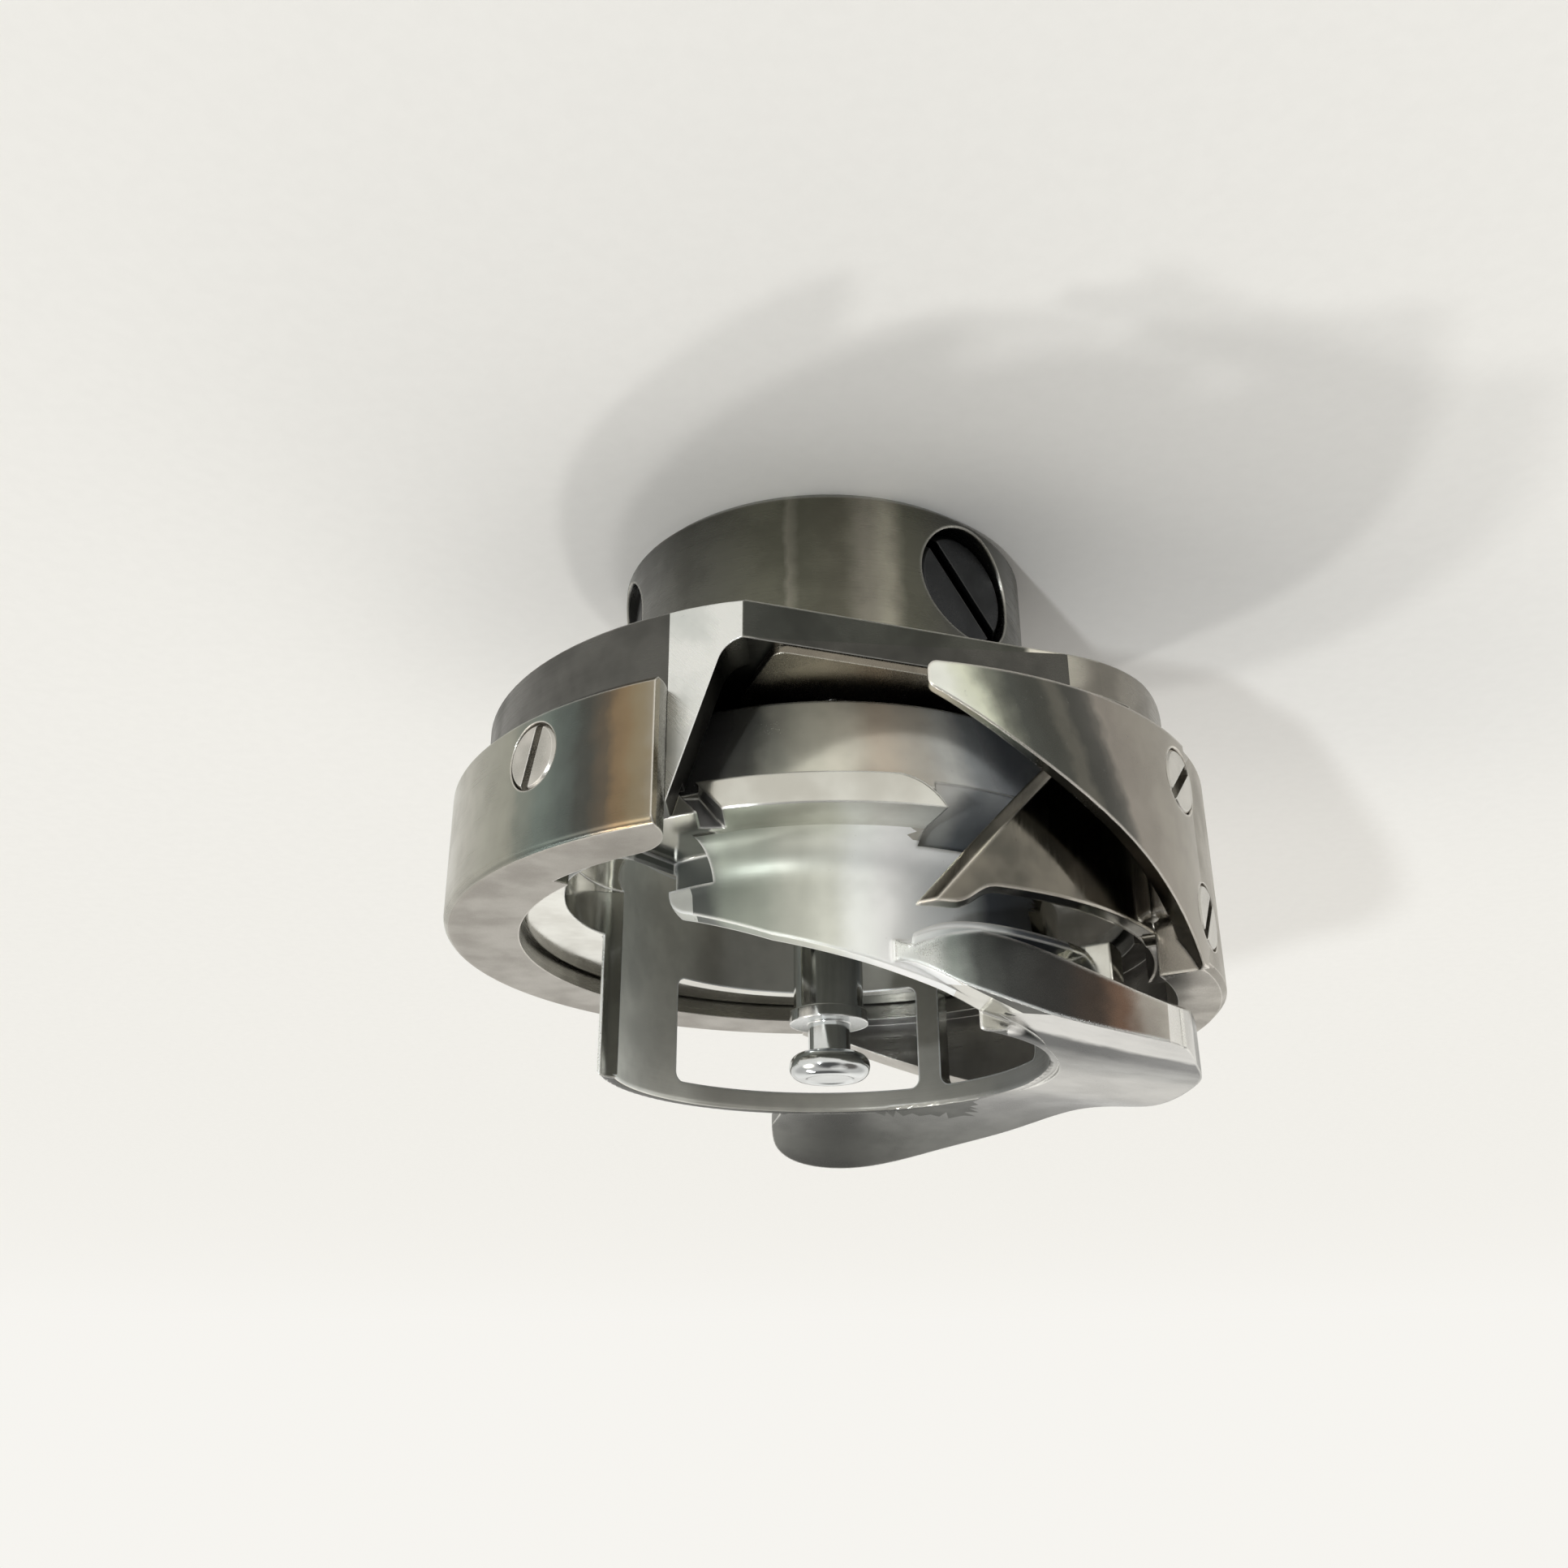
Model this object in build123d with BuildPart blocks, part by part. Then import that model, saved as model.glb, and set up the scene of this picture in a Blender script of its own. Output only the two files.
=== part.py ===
from build123d import *

import os
from math import atan2, cos, degrees, radians, sin, sqrt

# Rotary hook of a large lockstitch machine: the hook body with its gib, and the basket
# (bobbin case base) that stands still in the turning hook.
# Millimetres. +Z runs along the hook shaft axis from the hub towards the open front.
# The origin is the centre of the hub's end face. Angles are counter-clockwise seen from
# the front, from +X, and the needle side of the hook faces -Y.

# ---- driving dimensions --------------------------------------------------------------

# hub and shaft
shaft_diameter = 7.94
hub_radius = 12.5
hub_length = 11.3
hub_edge = 0.5

# disc between hub and race
disc_radius = 20.2
disc_thickness = 2.1
disc_edge = 0.1
needle_flat_depth = 3.1
needle_flat_angle = -111.0
needle_flat_round = 10.0
opening_rear_x = 4.75
opening_front_x = 7.55
opening_round = 1.5
opening_depth = 9.0
opening_angles = (-146.0, -90.0)
facet_angle = -73.5
facet_depth = 0.095

# outer ring: gib on one half, hook point and heel on the other
ring_wall = 1.8
ring_step = 4.4
ring_edge = 0.3
seam_angle = 85.0
seam_gap = 0.05

# race that carries the basket
race_wall = 1.95
rib_thickness = 1.6
race_height = 8.6
race_shoulder = 0.95
race_clearance = 0.05

# gib
gib_end_angle = -68.7
gib_flange = 1.75
gib_lap = 0.45
gib_relief = 0.9
gib_relief_angle = -42.0
gib_edge_round = 0.5
gib_end_round = 3.0
gib_fit = 0.02

# hook point and heel
tip_x = -4.9
tip_round = 0.5
point_edge = ((-6.98, 6.8), (-10.06, 8.7), (-13.6, 10.85), (-16.05, 12.75), (-17.5, 14.45))
point_start = 5.65
point_end_x = -18.6
point_thickness = 2.0
point_bore_radius = 20.3
point_bore_centre = (0.32, -1.2)
point_root_angle = -150.0
point_span = 54.0
point_depth = 8.0
heel_rise = 4.6
heel_ramp_x = (1.9, -9.9)

# thread guard inside the heel
guard_cover = 2.6
guard_thickness = 1.0
guard_end_angle = -180.0
guard_foot = 5.0
guard_front = 14.35
guard_tab = 1.0
guard_foot_x = -12.95
guard_tip_x = -4.1
guard_tab_width = 1.6
guard_tab_blend = 2.4
guard_bevel = 0.7
guard_fit = 0.02
guard_end_play = 0.2

# needle guard on the disc
needle_guard_thickness = 0.45
needle_guard_length = 18.0
needle_guard_width = 6.2
needle_guard_round = 0.75
needle_guard_setback = 0.1

# screws
hub_screw_radius = 3.65
hub_screw_height = 4.4
hub_screw_recess = 0.75
hub_dog_radius = 2.2
hub_dog_start = 6.5
hub_screw_edge = 0.45
hub_screws = ((-134.0, -42.0), (-14.0, 20.0), (106.0, 65.0))
hub_slot = (0.95, 1.5)
ring_screw_radius = 1.8
ring_screw_head = 1.0
ring_screw_edge = 0.2
ring_slot = (0.6, 0.6)
ring_thread_radius = 1.1
gib_screw_height = 6.8
gib_screws = ((-48.6, 72.0), (8.2, 15.0), (65.0, -30.0))
gib_thread = 2.2
guard_screws = ((-147.3, 42.0, 6.8), (-153.2, 48.0, 13.6))
guard_thread = 0.8
needle_screw_radius = 0.9
needle_screw_length = 1.5
needle_screw_spacing = 8.0
needle_screw_setback = 4.9
needle_slot = (0.4, 0.35)
screw_fit = 0.02

# basket
basket_bore_radius = 12.25
basket_wall = 1.05
basket_back_gap = 0.65
basket_back_step = 1.8
basket_back_round = 0.2
basket_floor = 1.8
basket_flank_step = 1.4
basket_shoulder_rise = 0.75
basket_shoulder_gap = 0.35
basket_rim = 19.3
side_pocket = (
    (9.85, -12.56), (10.64, -12.84), (11.94, -11.93), (13.31, -10.23), (14.19, -7.61),
    (14.5, -4.21), (14.1, -1.8), (13.2, 0.1), (12.2, 1.0),
)
side_pocket_depth = 0.6
needle_side = (-150.0, -52.0)
rib_gap = (-135.0, -109.0)
rib_end = ((-3.7, 0.0), (-5.0, 0.53), (-5.87, 1.5))
rib_end_depth = 15.9
rib_notch = (6.3, 4.95, 1.25)
column_end = ((13.4, 0.6), (12.85, 0.0), (12.0, 2.0))
tongue_foot_round = 2.3
tongue_notch = (0.5, 12.0, -64.4)
tongue_corner_round = 1.3
tongue_end_x = 8.2
tongue_front = ((8.2, 13.0), (6.65, 13.6), (2.77, 15.1), (-1.6, 16.3), (-5.7, 17.5), (-12.2, 20.0))
tongue_cut_depth = 3.7
window_sill = 11.5
window_band = 1.25
window_angles = ((39.0, 117.5), (125.0, 168.0))
window_round = 0.6
window_relief = 0.2
rim_edges = (0.45, 0.25)

# horn collar of the basket: angle, outer radius, rise of its outer and inner front edge
# over the rim, and drop of its outer and inner rear edge under the rim
horn_face = 13.3
horn_corner = ((-15.9, 0.0), (-16.5, 0.16), (-16.94, 0.61))
horn_sections = (
    (75.5, 15.5, 0.3, 0.0, 0.4, 0.9),
    (78.0, 18.0, 1.2, 0.0, 0.0, 0.9),
    (82.0, 19.5, 1.9, 0.0, -0.8, 0.9),
    (90.0, 20.0, 2.4, 0.0, -1.3, 0.9),
    (100.0, 20.0, 2.2, 0.0, -1.1, 0.9),
    (112.0, 20.0, 1.4, 0.0, -0.3, 0.9),
    (127.0, 20.0, 0.6, 0.0, 0.5, 1.0),
    (141.0, 20.0, 0.0, 0.0, 1.1, 1.2),
    (151.0, 20.0, 0.3, 0.0, 1.1, 1.5),
    (163.0, 20.0, 1.0, 0.1, 1.1, 2.2),
    (180.0, 20.1, 1.2, 0.2, 1.2, 3.6),
    (195.0, 20.2, 1.5, 0.2, 1.2, 4.7),
    (207.0, 20.5, 1.7, 0.0, 1.0, 5.05),
    (220.0, 21.3, 1.6, -0.4, 0.2, 5.05),
    (234.0, 18.5, 0.3, -1.1, 2.6, 5.05),
    (246.0, 16.5, -1.4, -2.15, 3.3, 4.6),
    (256.0, 14.6, -2.4, -2.9, 3.5, 4.0),
)
lip_radius = 15.4
lip_angles = (-152.0, -104.0)
lip_rear = (
    (-13.6, 14.4), (-11.15, 14.67), (-9.33, 14.73), (-6.77, 14.85), (-5.54, 15.08),
    (-4.71, 15.41), (-4.12, 15.74),
)
lip_front = ((-4.12, 15.9), (-5.12, 15.49), (-7.16, 15.15), (-9.29, 15.15), (-11.6, 15.05), (-13.6, 14.75))
horn_web = (16.8, 14.2, 2.1, -161.0, -152.0)

# latch stud
stud_radius = 2.0
stud_flange_radius = 2.25
stud_neck_radius = 1.2
stud_head_radius = 2.3
stud_shaft = 10.85
stud_flange = 0.7
stud_neck = 1.8
stud_head = 1.3
stud_fit = 0.01

# ---- sizes that follow -----------------------------------------------------------------

bore_radius = shaft_diameter / 2
ring_radius = disc_radius + ring_wall
race_radius = disc_radius - race_wall
rib_radius = race_radius - race_clearance
gib_bore_radius = race_radius - gib_lap
gib_relief_radius = gib_bore_radius + gib_relief
guard_outer_radius = ring_radius - guard_cover
guard_inner_radius = guard_outer_radius - guard_thickness
basket_flank_radius = rib_radius - basket_flank_step
basket_back_radius = basket_flank_radius - basket_back_step
needle_flat_distance = disc_radius - needle_flat_depth
facet_distance = disc_radius - facet_depth
disc_rear = hub_length
disc_front = disc_rear + disc_thickness
cavity_floor = disc_front + needle_guard_thickness
rib_rear = disc_rear + race_height
rib_front = rib_rear + rib_thickness
shoulder_level = rib_rear - race_clearance
wall_front = rib_front + race_clearance
shoulder_radius = race_radius - race_shoulder
point_inner_radius = ring_radius - point_thickness
point_end_angle = point_root_angle + point_span
gib_front = wall_front + gib_flange
ring_rear = disc_rear + ring_step
heel_front = gib_front + heel_rise
guard_rear = disc_rear + guard_foot
guard_level = disc_rear + guard_front
basket_outer_radius = basket_bore_radius + basket_wall
basket_back = cavity_floor + basket_back_gap
basket_inside = basket_back + basket_floor
shoulder_front = rib_front + basket_shoulder_rise
rim_front = disc_rear + basket_rim
sill_level = disc_rear + window_sill
window_top = rim_front - window_band
above = ring_radius
os.makedirs("parts", exist_ok=True)


# ---- shared shapes ---------------------------------------------------------------------

def axial_plane(angle):
    """The plane through the shaft axis at an angle: its x points outwards, its y to +Z."""
    outward = (cos(radians(angle)), sin(radians(angle)), 0)
    normal = (sin(radians(angle)), -cos(radians(angle)), 0)
    return Plane(origin=(0, 0, 0), x_dir=outward, z_dir=normal)


def radial_plane(angle, radius, height, turn=0.0):
    """A plane facing outwards at an angle, a radius and a height, turned about its normal."""
    outward = (cos(radians(angle)), sin(radians(angle)), 0)
    level = cos(radians(turn))
    across = (-sin(radians(angle)) * level, cos(radians(angle)) * level, sin(radians(turn)))
    place = (radius * outward[0], radius * outward[1], height)
    return Plane(origin=place, x_dir=across, z_dir=outward)


def turned(points, start=0.0, stop=360.0, mode=Mode.ADD):
    """Revolve a closed outline of (radius, height) points from one angle to another."""
    with BuildSketch(axial_plane(start)) as outline:
        with BuildLine():
            Polyline(*points, close=True)
        make_face()
    revolve(outline.sketch, axis=Axis.Z, revolution_arc=stop - start, mode=mode)


def ring_sector(inner, outer, low, high, start, stop, mode=Mode.ADD):
    """A rectangular ring section between two radii and two heights."""
    turned(((inner, low), (outer, low), (outer, high), (inner, high)), start, stop, mode)


def front_view_cut(points, y_near, y_far):
    """Cut an outline of (x, z) points, seen from the needle side, between two y values."""
    with BuildSketch(Plane.XZ.offset(-y_far)) as outline:
        with BuildLine():
            Polyline(*points, close=True)
        make_face()
    extrude(outline.sketch, amount=y_far - y_near, mode=Mode.SUBTRACT)


def radial_hole(angle, height, radius, inner, outer):
    """Drill towards the axis, from an outer to an inner distance."""
    with BuildSketch(radial_plane(angle, inner, height)) as mouth:
        Circle(radius)
    extrude(mouth.sketch, amount=outer - inner, mode=Mode.SUBTRACT)


def save(piece, name):
    """Label a finished piece and write its STEP file."""
    piece.part.label = name
    export_step(piece.part, f"parts/{name}.step")


# places of the needle guard's screws, on a plane whose x points at the needle flat
guard_edge = needle_flat_distance - needle_guard_setback
guard_middle = guard_edge - needle_guard_width / 2
guard_screw_line = guard_edge - needle_screw_setback
guard_plane = Plane.XY.offset(disc_front).rotated((0, 0, needle_flat_angle))
flat_plane = Plane.XY.offset(disc_rear).rotated((0, 0, needle_flat_angle))
screw_spots = [(guard_screw_line, side * needle_screw_spacing / 2) for side in (-1, 1)]


# ---- hook body: hub, disc, race wall, hook point and heel --------------------------------

# heel with its front lip, and the curved blade of the point that runs on from it
with BuildPart() as heel:
    ring_sector(
        point_inner_radius, ring_radius, ring_rear, heel_front, point_root_angle, point_end_angle,
    )
    with BuildSketch(Plane.XY.offset(ring_rear)) as point_bore:
        with Locations(point_bore_centre):
            Circle(point_bore_radius)
    extrude(point_bore.sketch, amount=above, mode=Mode.SUBTRACT)
    # front edge and rounded tip of the blade, as seen from the needle side
    tip_front = (tip_x, disc_rear + point_start)
    blade_end = (point_end_x, heel_front)
    with BuildSketch(Plane.XZ.offset(point_depth)) as beyond_point:
        with BuildLine():
            Spline(tip_front, *[(x, disc_rear + rise) for x, rise in point_edge], blade_end)
            Polyline(
                blade_end,
                (point_end_x, above + heel_front),
                (ring_radius, above + heel_front),
                (ring_radius, disc_rear),
                (point_end_x, disc_rear),
                (point_end_x, ring_rear),
                (tip_x, ring_rear),
                tip_front,
            )
        make_face()
        corners = beyond_point.vertices().sort_by_distance((tip_x, ring_rear))[0:2]
        fillet(corners, tip_round)
    extrude(beyond_point.sketch, amount=ring_radius, mode=Mode.SUBTRACT)
    turned((
        (race_radius, ring_rear),
        (ring_radius - ring_edge, ring_rear),
        (ring_radius, ring_rear + ring_edge),
        (ring_radius, heel_front - ring_edge),
        (ring_radius - ring_edge, heel_front),
        (guard_outer_radius, heel_front),
        (guard_outer_radius, gib_front),
        (gib_bore_radius, gib_front),
        (gib_bore_radius, wall_front),
        (race_radius, wall_front),
    ), seam_angle, point_root_angle + 360)

    # ramp that leads from the gib up to the heel on the far side
    ramp_start, ramp_end = heel_ramp_x
    front_view_cut((
        (ring_radius, gib_front),
        (ramp_start, gib_front),
        (ramp_end, heel_front),
        (ramp_end, above + heel_front),
        (ring_radius, above + heel_front),
    ), 0, ring_radius)

with BuildPart() as hook_body:
    turned((
        (bore_radius, 0),
        (hub_radius - hub_edge, 0),
        (hub_radius, hub_edge),
        (hub_radius, disc_rear),
        (disc_radius - disc_edge, disc_rear),
        (disc_radius, disc_rear + disc_edge),
        (disc_radius, wall_front),
        (race_radius, wall_front),
        (race_radius, shoulder_level),
        (shoulder_radius, shoulder_level),
        (shoulder_radius, disc_front),
        (bore_radius, disc_front),
    ))

    # flat that lets the needle pass, run out into the round of the disc under the heel
    run_out_x = needle_flat_distance - needle_flat_round
    run_out_distance = disc_radius - needle_flat_round
    run_out_y = -sqrt(run_out_distance ** 2 - run_out_x ** 2)
    run_out_angle = degrees(atan2(run_out_y, run_out_x))
    scale_out = disc_radius / run_out_distance
    with BuildSketch(flat_plane) as flat:
        with BuildLine():
            CenterArc((run_out_x, run_out_y), needle_flat_round, run_out_angle, -run_out_angle)
            Polyline(
                (needle_flat_distance, run_out_y),
                (needle_flat_distance, 2 * ring_radius),
                (2 * ring_radius, 2 * ring_radius),
                (2 * ring_radius, -2 * ring_radius),
                (2 * scale_out * run_out_x, 2 * scale_out * run_out_y),
                (scale_out * run_out_x, scale_out * run_out_y),
            )
        make_face()
    extrude(flat.sketch, amount=wall_front - disc_rear, mode=Mode.SUBTRACT)

    # ground facet beside the opening
    with BuildSketch(radial_plane(facet_angle, facet_distance, disc_rear)) as facet:
        Rectangle(2 * ring_radius, 2 * above)
    extrude(facet.sketch, amount=ring_radius, mode=Mode.SUBTRACT)

    # opening in the race wall between the gib end and the root of the point
    ring_sector(
        shoulder_radius - race_shoulder, ring_radius, disc_front, above + wall_front,
        *opening_angles, Mode.SUBTRACT,
    )
    with BuildSketch(Plane.XZ.offset(ring_radius)) as opening:
        with BuildLine():
            Polyline(
                (opening_rear_x, disc_front),
                (opening_front_x, wall_front),
                (opening_front_x, above + wall_front),
                (-opening_rear_x, above + wall_front),
                (-opening_rear_x, disc_front),
                close=True,
            )
        make_face()
        foot = opening.vertices().group_by(Axis.Y)[0].sort_by(Axis.X)[-1]
        fillet(foot, opening_round)
    extrude(opening.sketch, amount=-opening_depth, mode=Mode.SUBTRACT)

    add(heel.part)

    # pocket for the thread guard
    ring_sector(
        guard_inner_radius - guard_fit, guard_outer_radius + guard_fit,
        guard_rear - guard_fit, shoulder_level + guard_fit,
        guard_end_angle - guard_end_play, point_end_angle, Mode.SUBTRACT,
    )
    ring_sector(
        shoulder_radius - race_shoulder, guard_outer_radius + guard_fit,
        shoulder_level, above + heel_front,
        guard_end_angle - guard_end_play, point_end_angle, Mode.SUBTRACT,
    )

    # screw holes in the hub, the race wall, the heel and the disc
    for angle, slot_turn in hub_screws:
        radial_hole(angle, hub_screw_height, hub_screw_radius, hub_dog_start, hub_radius)
        radial_hole(angle, hub_screw_height, hub_dog_radius, 0, hub_radius)
    for angle, slot_turn in gib_screws:
        radial_hole(
            angle, disc_rear + gib_screw_height, ring_thread_radius,
            disc_radius - gib_thread, disc_radius,
        )
    for angle, slot_turn, rise in guard_screws:
        radial_hole(
            angle, disc_rear + rise, ring_screw_radius,
            ring_radius - ring_screw_head, ring_radius,
        )
        radial_hole(angle, disc_rear + rise, ring_thread_radius, guard_outer_radius, ring_radius)
    with BuildSketch(guard_plane) as guard_holes:
        with Locations(*screw_spots):
            Circle(needle_screw_radius + screw_fit)
    hole_depth = needle_screw_length - needle_guard_thickness
    extrude(guard_holes.sketch, amount=-hole_depth, mode=Mode.SUBTRACT)
save(hook_body, "hook_body")


# ---- gib: ring half that holds the basket in the race ------------------------------------

with BuildPart() as hook_gib:
    turned((
        (disc_radius + gib_fit, ring_rear),
        (ring_radius - ring_edge, ring_rear),
        (ring_radius, ring_rear + ring_edge),
        (ring_radius, gib_front),
        (gib_bore_radius, gib_front),
        (gib_bore_radius, wall_front),
        (disc_radius + gib_fit, wall_front),
    ), gib_end_angle, seam_angle - seam_gap)
    ring_sector(
        gib_bore_radius, gib_relief_radius, wall_front, gib_front,
        gib_end_angle, gib_relief_angle, Mode.SUBTRACT,
    )
    end_corner = (
        gib_relief_radius * cos(radians(gib_end_angle)),
        gib_relief_radius * sin(radians(gib_end_angle)),
        gib_front,
    )
    corner_edge = hook_gib.edges().filter_by(Axis.Z).sort_by_distance(end_corner)[0]
    fillet(corner_edge, gib_end_round)
    face_edge = hook_gib.edges().filter_by(GeomType.CIRCLE).sort_by_distance((ring_radius, 0, gib_front))[0]
    fillet(face_edge, gib_edge_round)
    for angle, slot_turn in gib_screws:
        height = disc_rear + gib_screw_height
        radial_hole(angle, height, ring_screw_radius, ring_radius - ring_screw_head, ring_radius)
        radial_hole(angle, height, ring_thread_radius, disc_radius, ring_radius)
save(hook_gib, "hook_gib")


# ---- thread guard: curved plate inside the heel ------------------------------------------

with BuildPart() as thread_guard:
    tab_front = guard_level + guard_tab
    ring_sector(
        guard_inner_radius, guard_outer_radius, guard_rear, tab_front,
        guard_end_angle, point_end_angle,
    )
    front_view_cut((
        (guard_foot_x, guard_rear),
        (guard_tip_x, tab_front),
        (guard_tip_x, above + tab_front),
        (ring_radius, above + tab_front),
        (ring_radius, guard_rear),
    ), -ring_radius, 0)
    # bevel along the outer side of the slanting edge
    middle_x = (guard_foot_x + guard_tip_x) / 2
    middle_y = -sqrt(guard_outer_radius ** 2 - middle_x ** 2)
    slant_middle = (middle_x, middle_y, (guard_rear + tab_front) / 2)
    chamfer(thread_guard.edges().sort_by_distance(slant_middle)[0], guard_bevel)
    # tab at the end of the front edge, blended into the edge
    tab_end = guard_tip_x - guard_tab_width
    blend_end = tab_end - guard_tab_blend
    with BuildSketch(Plane.XZ) as beside_tab:
        with BuildLine():
            Spline(
                (tab_end, tab_front), (blend_end, guard_level),
                tangents=[(-1, 0), (-1, 0)],
            )
            Polyline(
                (blend_end, guard_level),
                (-ring_radius, guard_level),
                (-ring_radius, above + tab_front),
                (tab_end, above + tab_front),
                (tab_end, tab_front),
            )
        make_face()
    extrude(beside_tab.sketch, amount=ring_radius, mode=Mode.SUBTRACT)
    for angle, slot_turn, rise in guard_screws:
        radial_hole(
            angle, disc_rear + rise, ring_thread_radius,
            guard_outer_radius - guard_thread, ring_radius,
        )
save(thread_guard, "thread_guard")


# ---- needle guard: thin plate on the disc behind the flat --------------------------------

with BuildPart() as needle_guard:
    with BuildSketch(guard_plane) as plate:
        with Locations((guard_middle, 0)):
            RectangleRounded(needle_guard_width, needle_guard_length, needle_guard_round)
        with Locations(*screw_spots):
            Circle(needle_screw_radius + screw_fit, mode=Mode.SUBTRACT)
    extrude(amount=needle_guard_thickness)
save(needle_guard, "needle_guard")

for number, spot in enumerate(screw_spots, start=1):
    spot_plane = guard_plane.offset(needle_guard_thickness)
    with BuildPart() as needle_guard_screw:
        with BuildSketch(spot_plane):
            with Locations(spot):
                Circle(needle_screw_radius)
        extrude(amount=-needle_screw_length)
        with BuildSketch(spot_plane):
            with Locations(spot):
                Rectangle(4 * needle_screw_radius, needle_slot[0])
        extrude(amount=-needle_slot[1], mode=Mode.SUBTRACT)
    save(needle_guard_screw, f"needle_guard_screw_{number}")


# ---- screws ------------------------------------------------------------------------------

def cross_slot(plane, slot, length):
    """Cut a screwdriver slot across the end that lies in a plane."""
    width, depth = slot
    with BuildSketch(plane) as groove:
        Rectangle(length, width)
    extrude(groove.sketch, amount=-depth, mode=Mode.SUBTRACT)


def ring_screw(angle, slot_turn, height, inner):
    """Slotted screw whose head lies flush in the ring and whose thread ends at a radius."""
    head_plane = radial_plane(angle, ring_radius, height, slot_turn)
    with BuildPart() as screw:
        with BuildSketch(head_plane) as head:
            Circle(ring_screw_radius - screw_fit)
        extrude(head.sketch, amount=-ring_screw_head)
        with BuildSketch(head_plane) as shank:
            Circle(ring_thread_radius - screw_fit)
        extrude(shank.sketch, amount=-(ring_radius - inner))
        head_rims = screw.edges().filter_by(GeomType.CIRCLE).group_by(SortBy.RADIUS)[-1]
        chamfer(head_rims.sort_by_distance(head_plane.origin)[0], ring_screw_edge)
        cross_slot(head_plane, ring_slot, 4 * ring_screw_radius)
    return screw


for number, (angle, slot_turn) in enumerate(gib_screws, start=1):
    thread_end = disc_radius - gib_thread
    screw = ring_screw(angle, slot_turn, disc_rear + gib_screw_height, thread_end)
    save(screw, f"gib_screw_{number}")

for number, (angle, slot_turn, rise) in enumerate(guard_screws, start=1):
    thread_end = guard_outer_radius - guard_thread
    screw = ring_screw(angle, slot_turn, disc_rear + rise, thread_end)
    save(screw, f"thread_guard_screw_{number}")

for number, (angle, slot_turn) in enumerate(hub_screws, start=1):
    end_plane = radial_plane(angle, hub_radius - hub_screw_recess, hub_screw_height, slot_turn)
    with BuildPart() as hub_set_screw:
        with BuildSketch(end_plane) as body:
            Circle(hub_screw_radius - screw_fit)
        extrude(body.sketch, amount=-(hub_radius - hub_screw_recess - hub_dog_start - screw_fit))
        chamfer(hub_set_screw.edges().filter_by(GeomType.CIRCLE), hub_screw_edge)
        with BuildSketch(end_plane) as dog:
            Circle(hub_dog_radius - screw_fit)
        extrude(dog.sketch, amount=-(hub_radius - hub_screw_recess - bore_radius))
        cross_slot(end_plane, hub_slot, 4 * hub_screw_radius)
    save(hub_set_screw, f"hub_set_screw_{number}")


# ---- latch stud --------------------------------------------------------------------------

with BuildPart() as latch_stud:
    flange_rear = basket_inside + stud_shaft
    neck_rear = flange_rear + stud_flange
    head_rear = neck_rear + stud_neck
    stud_front = head_rear + stud_head
    with BuildSketch(axial_plane(0)) as profile:
        with BuildLine():
            Polyline(
                (stud_neck_radius, head_rear),
                (stud_neck_radius, neck_rear),
                (stud_flange_radius, neck_rear),
                (stud_flange_radius, flange_rear),
                (stud_radius, flange_rear),
                (stud_radius, basket_back),
                (0, basket_back),
                (0, stud_front),
                (stud_neck_radius, stud_front),
            )
            ThreePointArc(
                (stud_neck_radius, stud_front),
                (stud_head_radius, (head_rear + stud_front) / 2),
                (stud_neck_radius, head_rear),
            )
        make_face()
    revolve(profile.sketch, axis=Axis.Z)
save(latch_stud, "latch_stud")


# ---- basket (bobbin case base) -----------------------------------------------------------

def collar_section(angle, outer_radius, outer_rise, inner_rise, outer_drop, inner_drop):
    """Section of the horn collar: a quadrilateral in the axial plane at an angle."""
    root_radius = basket_outer_radius - basket_wall / 2
    with BuildSketch(axial_plane(angle)) as section:
        with BuildLine():
            Polyline(
                (root_radius, rim_front - inner_drop),
                (outer_radius, rim_front - outer_drop),
                (outer_radius, rim_front + outer_rise),
                (root_radius, rim_front + inner_rise),
                close=True,
            )
        make_face()
    return section.sketch.face()


with BuildPart() as horn_collar:
    loft([collar_section(*section) for section in horn_sections])
    # flat face of the horn on the needle side
    with BuildSketch(Plane.XZ.offset(horn_face)) as side:
        Rectangle(4 * ring_radius, 4 * above)
    extrude(side.sketch, amount=ring_radius, mode=Mode.SUBTRACT)
    # rounded corner between the flat face and the outside
    corner_points = [(x, rise - horn_face) for x, rise in horn_corner]
    with BuildSketch(Plane.XY) as outside_corner:
        with BuildLine():
            ThreePointArc(*corner_points)
            Polyline(
                corner_points[-1],
                (-ring_radius, -horn_face),
                (corner_points[0][0], -ring_radius),
                corner_points[0],
            )
        make_face()
    extrude(outside_corner.sketch, amount=above + rim_front, mode=Mode.SUBTRACT)

# thin lip under the horn, cut to a band as seen from the needle side
with BuildPart() as collar_lip:
    ring_sector(basket_bore_radius, lip_radius, sill_level, rim_front, *lip_angles)
    rear_edge = [(x, disc_rear + rise) for x, rise in lip_rear]
    front_edge = [(x, disc_rear + rise) for x, rise in lip_front]
    with BuildSketch(Plane.XZ) as band:
        with BuildLine():
            Spline(*rear_edge)
            Line(rear_edge[-1], front_edge[0])
            Spline(*front_edge)
            Line(front_edge[-1], rear_edge[0])
        make_face()
    extrude(band.sketch, amount=ring_radius, mode=Mode.INTERSECT)

with BuildPart() as window_cutters:
    for start, stop in window_angles:
        ring_sector(
            basket_bore_radius - basket_wall, basket_outer_radius + window_relief,
            sill_level, window_top, start, stop,
        )
    across_wall = window_cutters.edges().filter_by(GeomType.LINE).filter_by(Plane.XY)
    fillet(across_wall, window_round)

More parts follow.
